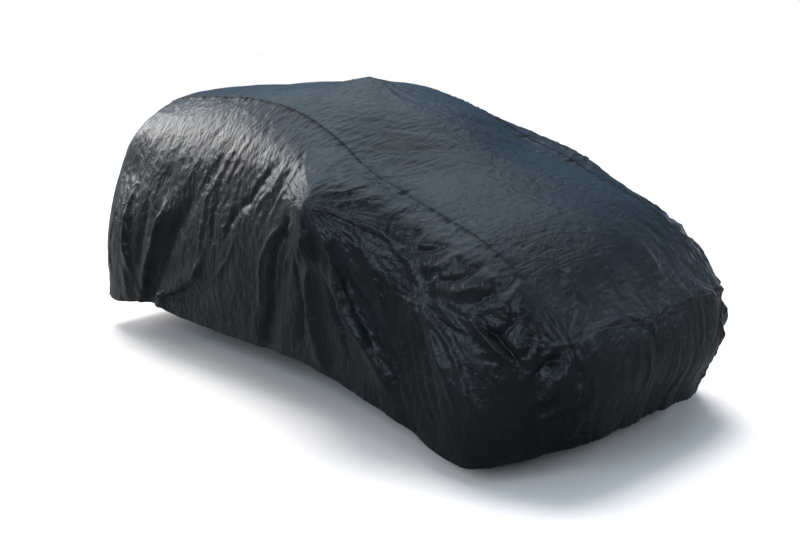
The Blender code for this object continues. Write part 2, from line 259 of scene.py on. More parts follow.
creases = {  # width, height (a minus presses in), then the places it runs through
    "right": {
        "gatherBright": (0.022, 0.026,
            (-0.89, 1.24, 0.32), (-0.91, 1.08, 0.57), (-0.89, 0.98, 0.77), (-0.83, 0.91, 0.99)),
        "gatherDark": (0.040, -0.022,
            (-0.86, 1.18, 0.32), (-0.87, 0.97, 0.60), (-0.85, 0.82, 0.80), (-0.82, 0.71, 0.94)),
        "rearRidge": (0.022, 0.017,
            (-0.90, 1.32, 0.36), (-0.90, 1.33, 0.46), (-0.92, 1.36, 0.63), (-0.88, 1.36, 0.82),
            (-0.81, 1.36, 1.00)),
        "rearDark": (0.030, -0.015, (-0.90, 1.22, 0.46), (-0.89, 1.17, 0.74), (-0.84, 1.15, 0.96)),
        "rearEdge": (0.018, 0.010, (-0.86, 1.62, 0.34), (-0.86, 1.60, 0.60), (-0.83, 1.56, 0.86)),
        "lowRidge": (0.020, 0.017,
            (-0.85, 1.16, 0.30), (-0.88, 0.87, 0.40), (-0.89, 0.65, 0.52), (-0.88, 0.54, 0.62),
            (-0.86, 0.53, 0.73)),
        "lowCrease": (0.020, -0.009, (-0.88, 1.01, 0.31), (-0.87, 0.74, 0.43), (-0.87, 0.54, 0.51)),
        "longCrease": (0.014, 0.009, (-0.87, 1.02, 0.30), (-0.86, 0.57, 0.34), (-0.86, 0.23, 0.37)),
        "doorUp": (0.020, 0.008, (-0.88, 0.56, 0.62), (-0.86, 0.55, 0.77), (-0.82, 0.49, 1.03)),
        "doorUp2": (0.026, -0.010, (-0.86, 0.39, 0.74), (-0.84, 0.42, 0.90), (-0.82, 0.36, 1.04)),
        "doorUp3": (0.024, -0.012, (-0.86, 0.31, 0.78), (-0.84, 0.22, 0.93), (-0.82, 0.07, 1.06)),
        "doorUp4": (0.018, 0.008, (-0.86, 0.44, 0.52), (-0.86, 0.30, 0.66), (-0.86, 0.16, 0.86)),
        "slantDark": (0.024, -0.013,
            (-0.84, 0.16, 0.95), (-0.82, 0.04, 1.07), (-0.81, -0.07, 1.19), (-0.77, -0.15, 1.27)),
        "slantBright": (0.022, 0.012,
            (-0.86, -0.12, 0.98), (-0.85, -0.25, 1.11), (-0.82, -0.32, 1.21),
            (-0.73, -0.33, 1.31)),
        "slantMiddle": (0.018, 0.010,
            (-0.85, 0.03, 0.94), (-0.84, -0.05, 1.05), (-0.82, -0.16, 1.16), (-0.78, -0.21, 1.26)),
        "slantHollow": (0.016, -0.009,
            (-0.86, -0.05, 0.90), (-0.85, -0.15, 1.05), (-0.82, -0.24, 1.18),
            (-0.76, -0.27, 1.29)),
        "mirrorRidge": (0.032, 0.026,
            (-1.02, -0.61, 1.10), (-1.01, -0.61, 0.92), (-0.92, -0.52, 0.73),
            (-0.89, -0.51, 0.50), (-0.88, -0.52, 0.30)),
        "mirrorLeft": (0.014, -0.018,
            (-1.00, -0.54, 1.05), (-0.87, -0.36, 0.77), (-0.85, -0.38, 0.56),
            (-0.85, -0.39, 0.36)),
        "mirrorDeep": (0.024, -0.030,
            (-0.92, -0.38, 1.04), (-0.86, -0.16, 0.78), (-0.85, -0.11, 0.58),
            (-0.84, -0.01, 0.27)),
        "mirrorBeside": (0.018, 0.012,
            (-0.92, -0.32, 1.00), (-0.86, -0.06, 0.76), (-0.85, -0.02, 0.56), (-0.84, 0.07, 0.30)),
        "mirrorBetween": (0.016, 0.009,
            (-0.95, -0.44, 1.02), (-0.87, -0.24, 0.74), (-0.85, -0.20, 0.50),
            (-0.85, -0.18, 0.32)),
        "wingBand": (0.034, 0.036,
            (-1.00, -0.67, 1.10), (-0.97, -0.76, 0.94), (-0.93, -0.79, 0.73),
            (-0.91, -0.86, 0.59), (-0.89, -1.03, 0.37)),
        "wingThin": (0.012, -0.016,
            (-0.97, -0.80, 0.95), (-0.92, -0.84, 0.74), (-0.90, -0.98, 0.50),
            (-0.89, -1.08, 0.38)),
        "wingSecond": (0.018, 0.012,
            (-0.97, -0.74, 1.06), (-0.95, -0.84, 0.94), (-0.93, -0.88, 0.84),
            (-0.90, -0.92, 0.70)),
        "wingThird": (0.018, 0.011,
            (-0.93, -0.80, 1.05), (-0.91, -0.91, 0.96), (-0.90, -0.99, 0.81),
            (-0.88, -1.04, 0.62)),
        "wingLow": (0.020, 0.016,
            (-0.88, -0.95, 0.62), (-0.87, -1.02, 0.52), (-0.86, -1.10, 0.40),
            (-0.87, -1.20, 0.24)),
        "wingInner": (0.026, -0.020,
            (-0.98, -0.66, 1.02), (-0.92, -0.66, 0.80), (-0.89, -0.70, 0.58),
            (-0.88, -0.80, 0.34)),
        "wingStep": (0.012, 0.006, (-1.00, -0.67, 0.95), (-0.98, -0.77, 0.95)),
        "wingStep2": (0.012, 0.007, (-0.95, -0.83, 0.99), (-0.92, -0.92, 0.94)),
        "mirrorFan": (0.014, 0.008,
            (-0.96, -0.65, 1.16), (-0.89, -0.72, 1.18), (-0.78, -0.76, 1.20),
            (-0.64, -0.75, 1.20)),
        "mirrorFan2": (0.014, 0.008,
            (-0.97, -0.69, 1.14), (-0.89, -0.78, 1.14), (-0.79, -0.86, 1.16),
            (-0.67, -0.90, 1.15)),
        "mirrorCrown": (0.024, 0.010,
            (-0.97, -0.70, 1.11), (-0.86, -0.90, 1.05), (-0.84, -1.03, 1.00),
            (-0.84, -1.19, 0.84), (-0.86, -1.24, 0.76)),
        "knotLong": (0.015, 0.023,
            (-0.86, -1.26, 0.76), (-0.87, -1.34, 0.68), (-0.87, -1.41, 0.62),
            (-0.88, -1.48, 0.52), (-0.88, -1.55, 0.43), (-0.85, -1.64, 0.30)),
        "knotCurve": (0.012, -0.009,
            (-0.86, -1.25, 0.77), (-0.86, -1.33, 0.71), (-0.86, -1.41, 0.68),
            (-0.84, -1.50, 0.66)),
        "knotCurve2": (0.012, 0.008,
            (-0.84, -1.32, 0.78), (-0.84, -1.41, 0.72), (-0.84, -1.48, 0.66)),
        "knotDown": (0.020, 0.017,
            (-0.87, -1.22, 0.72), (-0.87, -1.22, 0.59), (-0.87, -1.24, 0.49),
            (-0.87, -1.28, 0.36), (-0.87, -1.37, 0.17)),
        "knotDown2": (0.022, 0.015,
            (-0.87, -1.30, 0.70), (-0.89, -1.37, 0.58), (-0.90, -1.43, 0.47),
            (-0.89, -1.50, 0.28)),
        "knotHollow": (0.020, -0.016,
            (-0.87, -1.26, 0.68), (-0.88, -1.30, 0.56), (-0.88, -1.34, 0.44),
            (-0.88, -1.42, 0.24)),
        "deepSecond": (0.016, -0.013,
            (-0.83, -1.05, 1.01), (-0.78, -1.12, 1.03), (-0.72, -1.14, 1.05)),
        "deepFirst": (0.016, -0.014,
            (-0.81, -1.15, 0.96), (-0.78, -1.25, 0.98), (-0.72, -1.31, 0.99)),
        "betweenFirst": (0.018, 0.009,
            (-0.83, -1.20, 0.91), (-0.79, -1.32, 0.93), (-0.70, -1.38, 0.96)),
        "deepThird": (0.016, -0.017,
            (-0.83, -1.33, 0.87), (-0.78, -1.44, 0.88), (-0.73, -1.47, 0.92),
            (-0.65, -1.49, 0.93)),
        "betweenThird": (0.020, 0.011,
            (-0.82, -1.38, 0.82), (-0.76, -1.49, 0.85), (-0.66, -1.54, 0.89)),
        "deepFourth": (0.016, -0.020,
            (-0.80, -1.49, 0.77), (-0.76, -1.56, 0.83), (-0.68, -1.58, 0.86),
            (-0.58, -1.56, 0.90)),
        "deepFifth": (0.015, -0.018,
            (-0.80, -1.57, 0.67), (-0.76, -1.65, 0.71), (-0.74, -1.67, 0.74),
            (-0.68, -1.70, 0.77)),
        "lampCurve": (0.020, 0.024,
            (-0.80, -1.50, 0.77), (-0.81, -1.54, 0.69), (-0.80, -1.59, 0.65),
            (-0.79, -1.66, 0.60), (-0.76, -1.74, 0.51)),
        "lampHollow": (0.014, -0.017,
            (-0.79, -1.55, 0.73), (-0.79, -1.60, 0.68), (-0.77, -1.67, 0.63),
            (-0.75, -1.75, 0.54)),
        "lampPuff": (0.034, 0.014, (-0.75, -1.70, 0.66), (-0.75, -1.73, 0.61)),
        "lampBump": (0.026, 0.012, (-0.73, -1.61, 0.82), (-0.74, -1.65, 0.77)),
        "lampBump2": (0.024, 0.011, (-0.79, -1.57, 0.72), (-0.77, -1.62, 0.70)),
        "cornerBright": (0.022, 0.032,
            (-0.72, -1.76, 0.39), (-0.69, -1.80, 0.45), (-0.66, -1.83, 0.51),
            (-0.58, -1.86, 0.59)),
        "cornerLow": (0.019, 0.027,
            (-0.70, -1.76, 0.30), (-0.65, -1.79, 0.34), (-0.60, -1.84, 0.41)),
        "cornerMiddle": (0.018, 0.026,
            (-0.61, -1.82, 0.33), (-0.58, -1.86, 0.41), (-0.56, -1.88, 0.49)),
        "cornerHem": (0.017, 0.022,
            (-0.53, -1.80, 0.19), (-0.51, -1.84, 0.28), (-0.50, -1.86, 0.36)),
        "cornerHollow": (0.022, -0.030,
            (-0.72, -1.78, 0.52), (-0.68, -1.80, 0.58), (-0.62, -1.84, 0.60)),
        "cornerUp": (0.015, 0.018, (-0.73, -1.77, 0.60), (-0.68, -1.77, 0.69)),
        "cornerUp2": (0.015, 0.018,
            (-0.71, -1.79, 0.57), (-0.66, -1.80, 0.63), (-0.59, -1.83, 0.66)),
    },
    "centre": {
        "lampStart": (0.026, -0.012,
            (-0.41, -1.58, 0.91), (-0.44, -1.70, 0.82), (-0.38, -1.80, 0.74)),
        "bonnetFirst": (0.024, 0.007,
            (-0.33, -1.60, 0.91), (-0.36, -1.75, 0.79), (-0.30, -1.85, 0.71)),
        "bonnetSecond": (0.024, -0.006,
            (-0.15, -1.66, 0.89), (-0.17, -1.78, 0.79), (-0.15, -1.84, 0.73)),
        "bonnetThird": (0.024, -0.006,
            (-0.02, -1.68, 0.87), (-0.04, -1.81, 0.77), (-0.08, -1.85, 0.72)),
        "bonnetFourth": (0.026, 0.007,
            (0.20, -1.60, 0.92), (0.15, -1.77, 0.80), (0.13, -1.86, 0.71)),
        "noseFirst": (0.016, 0.007, (0.08, -1.82, 0.75), (0.11, -1.88, 0.68)),
        "noseSecond": (0.014, -0.007, (0.05, -1.86, 0.70), (0.11, -1.91, 0.60)),
        "noseThird": (0.016, 0.007, (0.25, -1.80, 0.76), (0.29, -1.89, 0.66)),
        "noseFourth": (0.016, -0.006, (-0.22, -1.86, 0.70), (-0.12, -1.91, 0.60)),
        "noseFifth": (0.015, 0.006, (-0.11, -1.87, 0.69), (-0.05, -1.91, 0.57)),
        "faceFirst": (0.015, 0.006,
            (-0.47, -1.90, 0.56), (-0.48, -1.90, 0.45), (-0.46, -1.88, 0.32)),
        "faceSecond": (0.015, 0.007, (-0.09, -1.92, 0.54), (-0.14, -1.92, 0.36)),
        "faceThird": (0.015, 0.007, (0.20, -1.91, 0.38), (0.10, -1.89, 0.25)),
        "faceFourth": (0.015, -0.006, (0.36, -1.90, 0.56), (0.33, -1.91, 0.34)),
    },
}
hubs = {  # the cloth is drawn to: place, the way it points, reach, height, how many rays, seed
    "rightMirror": ((-1.01, -0.62, 1.14), (-1, 0, 1), 0.46, 0.0085, 3.4, 3.1),
    "leftMirror": ((1.00, -0.65, 1.13), (1, 0, 1), 0.46, 0.0085, 3.4, 7.7),
    "aerial": ((0.0, 0.07, 1.64), (0, 0, 1), 0.50, 0.0050, 3.0, 11.3),
    "rightArch": ((-0.87, 1.17, 0.24), (-1, 0, 0), 0.42, 0.0070, 3.2, 17.9),
    "leftArch": ((0.87, 1.20, 0.24), (1, 0, 0), 0.42, 0.0070, 3.2, 23.2),
    "rightKnot": ((-0.87, -1.24, 0.75), (-1, -0.2, 0.3), 0.20, 0.0050, 2.6, 29.8),
    "leftKnot": ((0.87, -1.27, 0.73), (1, -0.2, 0.3), 0.20, 0.0050, 2.6, 31.4),
    "rightLamp": ((-0.60, -1.83, 0.63), (-0.5, -1, 0.6), 0.26, 0.0060, 3.0, 37.6),
    "leftLamp": ((0.60, -1.83, 0.63), (0.5, -1, 0.6), 0.26, 0.0060, 3.0, 41.9),
    "rightRoof": ((-0.56, 1.50, 1.33), (-0.6, 0.8, 0.9), 0.34, 0.0040, 2.6, 43.5),
    "leftRoof": ((0.56, 1.50, 1.33), (0.6, 0.8, 0.9), 0.34, 0.0040, 2.6, 47.7),
}
streaks = {  # where, reach, the way they run, spacing, height, seed
    "windscreen": ((-0.25, -0.55, 1.40), (0.75, 0.50, 0.30), (0.75, -0.62, -0.20), 0.052, 0.0032, 51.3),
    "windscreenFar": ((0.40, -0.50, 1.36), (0.45, 0.60, 0.30), (0.5, -0.85, -0.25), 0.060, 0.0040, 53.9),
    "bonnetFar": ((0.45, -1.35, 1.00), (0.40, 0.50, 0.30), (0.45, -0.9, -0.25), 0.058, 0.0038, 57.4),
    "bonnetFront": ((0.0, -1.75, 0.82), (0.70, 0.16, 0.20), (0.10, -0.8, -0.6), 0.075, 0.0036, 61.1),
    "wingTop": ((-0.74, -1.20, 1.00), (0.20, 0.42, 0.22), (0.92, -0.30, 0.15), 0.046, 0.0045, 63.7),
    "lampTop": ((-0.70, -1.62, 0.78), (0.18, 0.20, 0.18), (0.70, -0.62, 0.35), 0.042, 0.0050, 67.2),
    "doorUpper": ((-0.80, 0.40, 1.12), (0.22, 0.80, 0.26), (0.05, -0.55, 0.85), 0.050, 0.0048, 71.6),
    "doorLower": ((-0.86, 0.35, 0.60), (0.15, 0.60, 0.24), (0.02, -0.16, 1.0), 0.060, 0.0036, 73.3),
    "rearSide": ((-0.84, 1.35, 0.85), (0.15, 0.35, 0.34), (0.05, 0.06, 1.0), 0.048, 0.0040, 79.8),
    "roof": ((0.0, 0.75, 1.56), (0.65, 0.75, 0.20), (0.9, -0.42, 0.05), 0.062, 0.0026, 83.4),
    "doorUpperFar": ((0.80, 0.45, 1.12), (0.22, 0.85, 0.26), (-0.05, -0.50, 0.85), 0.052, 0.0048, 89.5),
    "doorLowerFar": ((0.86, 0.20, 0.60), (0.15, 0.85, 0.26), (-0.02, -0.12, 1.0), 0.060, 0.0040, 97.1),
    "wingTopFar": ((0.74, -1.20, 1.00), (0.20, 0.42, 0.22), (-0.92, -0.30, 0.15), 0.046, 0.0045, 101.9),
    "lampTopFar": ((0.70, -1.62, 0.78), (0.18, 0.20, 0.18), (-0.70, -0.62, 0.35), 0.042, 0.0050, 103.3),
    "wingFar": ((0.87, -1.15, 0.50), (0.15, 0.50, 0.30), (0.0, -0.25, 1.0), 0.056, 0.0045, 107.7),
    "wing": ((-0.87, -1.20, 0.48), (0.15, 0.50, 0.28), (0.0, -0.30, -1.0), 0.052, 0.0034, 109.2),
    "tailFace": ((0.0, 1.86, 0.75), (0.75, 0.25, 0.50), (0.12, 0.05, 1.0), 0.070, 0.0050, 113.6),
    "noseFace": ((0.0, -1.90, 0.42), (0.75, 0.16, 0.26), (0.16, 0.0, 1.0), 0.060, 0.0034, 127.3),
}
edges = {
    "pucker": 0.0115, "puckerSpacing": 0.028, "puckerReach": 0.036, "puckerFall": 1.3, "puckerSeed": 8.8,
    "puckerLeast": 0.45, "puckerMore": 0.8, "puckerPatch": 0.3,  # they come and go
    "gather": 0.0060, "gatherSpacing": 0.034, "gatherReach": 0.13, "gatherFall": 1.2, "gatherSeed": 4.4,
    "gatherNose": -1.45, "noseEase": 0.25,                               # y where the elastic sets in
    "gatherTail": 1.60, "tailEase": 0.2,
    "hem": 0.022, "hemRise": 0.0016, "hemEase": 0.008,
    "hemWave": 0.008, "waveSpacing": 0.12, "waveReach": 0.10,
    "seamRise": 0.0034, "seamWidth": 0.008, "seamLap": 0.0020, "seamEase": 0.035, "stitchWidth": 0.007,
    "step": 0.003, "stretch": 0.25,
}
crumple = {
    "wander": 0.022, "wanderSize": 0.16, "wanderSeeds": (5.5, 15.5, 25.5),
    "sag": 0.006, "sagSize": 0.30, "sagSeed": 1.7,
    "crush": 0.0022, "crushSize": 0.055, "crushSeed": 2.9, "crushCentre": 0.5,
}
crestShape = {  # across a crease, in its own widths, and how it starts and ends
    "peak": 1.3, "fall": 1.5, "trough": 0.3, "troughWidth": 2.4, "reach": 4.5, "step": 0.02,
    "startLeast": 0.25, "starts": 5, "ends": 4, "leftBack": 0.03, "leftShare": 0.6,
}
fan = {
    "hole": 0.10, "holeFall": 0.7, "fall": 1.6, "least": 0.03,
    "spiral": 0.9, "core": 0.03, "wander": 0.7,
    "layers": ((1.0, 1.0), (2.1, 0.55)),            # how many times the rays, and how high
}
band = {"fall": 1.2, "least": 0.03, "long": 0.86, "layers": ((0.5, 1.0), (1.1, 0.6))}
pulled = {"reach": 0.55, "hole": 0.05, "spiral": 0.25}      # the mirrors' pull, for the finest creases


def smoothNoise(places):
    flat = places.reshape(-1, 3)
    return np.array([noise.noise(Vector(place)) for place in flat.tolist()]).reshape(places.shape[:-1])


def ridged(values):
    slope, rounding = 2.6, 0.0016                   # crisp crests where the noise crosses zero
    return 1 - slope * np.sqrt(values**2 + rounding)


def onCloth(path, points):
    flat = points.reshape(-1, 3)
    rough = np.array(path, float)
    knots = chords(rough)
    fine = spline(rough, knots, np.linspace(0, knots[-1], max(3, int(knots[-1] / crestShape["step"]))))
    return np.array([flat[np.argmin(((flat - place) ** 2).sum(axis=1))] for place in fine])


def fromPath(places, path):
    away, share = np.full(len(places), np.inf), np.zeros(len(places))
    length = chords(path)
    for k in range(len(path) - 1):
        run = path[k + 1] - path[k]
        size = max(run @ run, 1e-9)
        part = np.clip((places - path[k]) @ run / size, 0, 1)
        gap = np.linalg.norm(places - path[k] - part[:, None] * run, axis=1)
        closer = gap < away
        away[closer] = gap[closer]
        share[closer] = ((length[k] + part * math.sqrt(size)) / length[-1])[closer]
    return away, share


def creaseShift(points, some, wander, mirror=False):
    flat = points.reshape(-1, 3)
    warped = flat + wander.reshape(-1, 3)
    shift = np.zeros(len(flat))
    for width, height, *path in some.values():
        if mirror:
            path = [(-x, y + crestShape["leftBack"], z) for x, y, z in path]
            height *= crestShape["leftShare"]
        line = onCloth(path, points)
        reach = crestShape["reach"] * width
        near = np.all((flat > line.min(axis=0) - reach) & (flat < line.max(axis=0) + reach), axis=1)
        away, share = fromPath(warped[near], line)
        taper = np.clip(crestShape["starts"] * share, crestShape["startLeast"], 1)
        taper *= np.clip(crestShape["ends"] * (1 - share), 0, 1)
        crest = crestShape["peak"] * np.exp(-((away / width) ** crestShape["fall"]))
        crest -= crestShape["trough"] * np.exp(-((away / (crestShape["troughWidth"] * width)) ** 2))
        shift[near] += height * taper * crest
    return shift.reshape(points.shape[:2])


def aroundHub(points, place, axis):
    out = points - np.array(place)
    axis = np.array(axis, float) / np.linalg.norm(axis)
    first = unit(np.cross(axis, (0.3, 0.2, 1.0)))
    return out, np.arctan2(out @ np.cross(axis, first), out @ first)


def hubShift(points, place, axis, reach, height, rays, seed):
    out, turn = aroundHub(points, place, axis)
    radius = np.linalg.norm(out, axis=-1)
    swell = np.minimum(radius / fan["hole"], 1) ** fan["holeFall"]
    swell *= np.exp(-((radius / reach) ** fan["fall"]))
    shift = np.zeros(points.shape[:2])
    near = swell > fan["least"]
    outward = fan["spiral"] * np.log(radius + fan["core"]) + seed
    for more, share in fan["layers"]:
        ring = np.stack([np.cos(turn) * rays * more, np.sin(turn) * rays * more, outward], axis=-1)
        shift[near] += height * share * (ridged(smoothNoise(ring[near])) * swell[near])
    return shift


def streakShift(points, place, reach, run, spacing, height, seed):
    out = (points - np.array(place)) / np.array(reach)
    swell = np.exp(-((out**2).sum(axis=-1) ** band["fall"]))
    near = swell > band["least"]
    shift = np.zeros(points.shape[:2])
    run = np.array(run, float) / np.linalg.norm(run)
    # drawn out along the run
    away = points[near] - (points[near] @ run)[:, None] * run * band["long"]
    for more, share in band["layers"]:
        shift[near] += height * share * ridged(smoothNoise(away / spacing * more + seed)) * swell[near]
    return shift


def edgeLine(line):
    fine = np.linspace(0, 1, int(chords(line)[-1] / edges["step"]))
    return spline(line, chords(line) / chords(line)[-1], fine)


def fromEdge(points, line):
    tree = kdtree.KDTree(len(line))
    for k, place in enumerate(line):
        tree.insert(place, k)
    tree.balance()
    found = np.array([tree.find(place)[1:] for place in points.reshape(-1, 3)])
    step = chords(line)[-1] / (len(line) - 1)
    return (found[:, 0] * step).reshape(points.shape[:2]), found[:, 1].reshape(points.shape[:2])


def ripple(along, spacing, away, seed):
    places = [along / spacing, away / edges["stretch"] + seed, 0 * along + seed]
    return ridged(smoothNoise(np.stack(places, axis=-1)))


def patchy(along, spacing, seed):
    return smoothNoise(np.stack([along / spacing, 0 * along, 0 * along + seed], axis=-1))


def seamOf(side):
    return np.concatenate([side[0, :0:-1], side[:, 0], side[-1, 1:]])


def sewSeams(panels, before, borders, reached, outward):
    centre = panels["centre"]                       # its borders follow the sides' moved seams
    for name, column in (("left", -1), ("right", 0)):
        along, away = reached[name]
        moved = seamOf(panels[name]) - before[name] - edges["seamLap"] * outward[name]
        knots = chords(before[name])
        wanted = np.stack([np.interp(along[:, column], knots, moved[:, k]) for k in range(3)], axis=1)
        pull = borders[name] + wanted - centre[:, column]
        centre += pull[:, None] * np.exp(-((away / edges["seamEase"]) ** 2))[..., None]


def crease(panels):
    facing = {"centre": 1, "left": 1, "right": -1}
    before = {name: seamOf(panels[name]) for name in ("left", "right")}
    borders = {"left": panels["centre"][:, -1].copy(), "right": panels["centre"][:, 0].copy()}
    seams = {name: edgeLine(line) for name, line in before.items()}
    reached, stitched = {}, {}
    shifts, normals = {}, {}
    for name, points in panels.items():
        isCentre = name == "centre"
        normals[name] = gridNormals(points, facing[name])
        larger = points / crumple["wanderSize"]
        wander = np.stack([smoothNoise(larger + seed) for seed in crumple["wanderSeeds"]], axis=-1)
        wander *= crumple["wander"]
        shift = crumple["sag"] * smoothNoise(points / crumple["sagSize"] + crumple["sagSeed"])
        warped = points + wander
        crush = crumple["crush"] * (crumple["crushCentre"] if isCentre else 1)
        shift += crush * ridged(smoothNoise(warped / crumple["crushSize"] + crumple["crushSeed"]))
        some = creases["centre" if isCentre else "right"]
        shift += creaseShift(points, some, wander, mirror=name == "left")
        for hub in hubs.values():
            shift += hubShift(points + fan["wander"] * (warped - points), *hub)
        for streak in streaks.values():
            shift += streakShift(warped, *streak)
        for side in (("left", "right") if isCentre else (name,)):
            along, away = fromEdge(points, seams[side])
            if isCentre:
                reached[side] = along, away
            thread = np.exp(-((away / edges["stitchWidth"]) ** 2))
            stitched[name] = np.maximum(stitched.get(name, 0), thread)
            fade = np.exp(-((away / edges["puckerReach"]) ** edges["puckerFall"]))
            patch = np.abs(patchy(along, edges["puckerPatch"], 3))
            some = edges["puckerLeast"] + edges["puckerMore"] * patch
            puckers = ripple(along, edges["puckerSpacing"], away, edges["puckerSeed"])
            shift += edges["pucker"] * some * fade * puckers
            if not isCentre:
                shift += edges["seamRise"] * np.exp(-((away / edges["seamWidth"]) ** 4))
        # the elastic draws the hem in at nose and tail
        for end in ((points[0], points[-1]) if isCentre else (points[:, -1],)):
            along, away = fromEdge(points, edgeLine(end))
            tight = np.clip((edges["gatherNose"] - points[..., 1]) / edges["noseEase"], 0, 1)
            tight += np.clip((points[..., 1] - edges["gatherTail"]) / edges["tailEase"], 0, 1)
            fade = np.exp(-((away / edges["gatherReach"]) ** edges["gatherFall"])) * tight
            gathers = ripple(along, edges["gatherSpacing"], away, edges["gatherSeed"])
            shift += edges["gather"] * fade * gathers
            shift += edges["hemRise"] * np.clip((edges["hem"] - away) / edges["hemEase"], 0, 1)
            wave = patchy(along, edges["waveSpacing"], 6)
            shift += edges["hemWave"] * wave * np.exp(-((away / edges["waveReach"]) ** 2))
        shifts[name] = shift
    for name, points in panels.items():
        points += shifts[name][..., None] * normals[name]
    sewSeams(panels, before, borders, reached, {name: seamOf(normals[name]) for name in before})
    return stitched


def nodeOf(tree, kind, place, **settings):
    node = tree.nodes.new("ShaderNode" + kind)
    node.location = place
    for name, value in settings.items():
        if name in node.inputs:
            node.inputs[name].default_value = value
        else:
            setattr(node, name, value)
    return node


nylon = {
    "colour": (0.0026, 0.0029, 0.0034, 1.0), "dusty": (0.0054, 0.0064, 0.0077, 1.0),
    "dustScale": 2.3, "dustFrom": 0.42, "dustTo": 0.72,
    "roughness": (0.30, 0.44), "stitchDull": 0.5, "specular": 0.12,
    "sheen": 0.02, "sheenRoughness": 0.45, "sheenTint": (0.78, 0.86, 1.0, 1.0),
    "weave": 0.0011, "weaveHeight": 0.00015,
    "pullRays": 7.0, "pullHeight": 0.0030,              # fine creases that run to a mirror
    "strainAcross": 26.0, "strainAlong": 4.5, "strainHeight": 0.0024,   # fine creases down the cloth
    "patches": 3.1,                                     # where the finest creases come and go
    "crinkle": 30.0, "crinkleHeight": 0.0022, "crush": 11.0, "crushHeight": 0.0045,
    "crestWidth": 0.22,
}


def crest(tree, vector, place, **settings):     # noise folded at its middle into sharp crests
    grain = nodeOf(tree, "TexNoise", place, **settings)
    tree.links.new(vector, grain.inputs["Vector"])
    middle = nodeOf(tree, "Math", (place[0] + 180, place[1]), operation="SUBTRACT")
    tree.links.new(grain.outputs["Fac"], middle.inputs[0])
    middle.inputs[1].default_value = 0.5
    folded = nodeOf(tree, "Math", (place[0] + 360, place[1]), operation="ABSOLUTE")
    tree.links.new(middle.outputs["Value"], folded.inputs[0])
    upright = nodeOf(tree, "MapRange", (place[0] + 540, place[1]), interpolation_type="SMOOTHSTEP")
    limits = (("From Min", 0.0), ("From Max", nylon["crestWidth"]), ("To Min", 1.0), ("To Max", 0.0))
    for name, value in limits:
        upright.inputs[name].default_value = value
    tree.links.new(folded.outputs["Value"], upright.inputs["Value"])
    return upright.outputs["Result"]


def times(tree, first, second, place):
    product = nodeOf(tree, "Math", place, operation="MULTIPLY")
    for k, source in enumerate((first, second)):
        tree.links.new(source, product.inputs[k])
    return product.outputs["Value"]


def raised(tree, height, below, distance, place, strength=1.0):
    bump = nodeOf(tree, "Bump", place, Strength=strength, Distance=distance)
    tree.links.new(height, bump.inputs["Height"])
    if below:
        tree.links.new(below, bump.inputs["Normal"])
    return bump.outputs["Normal"]


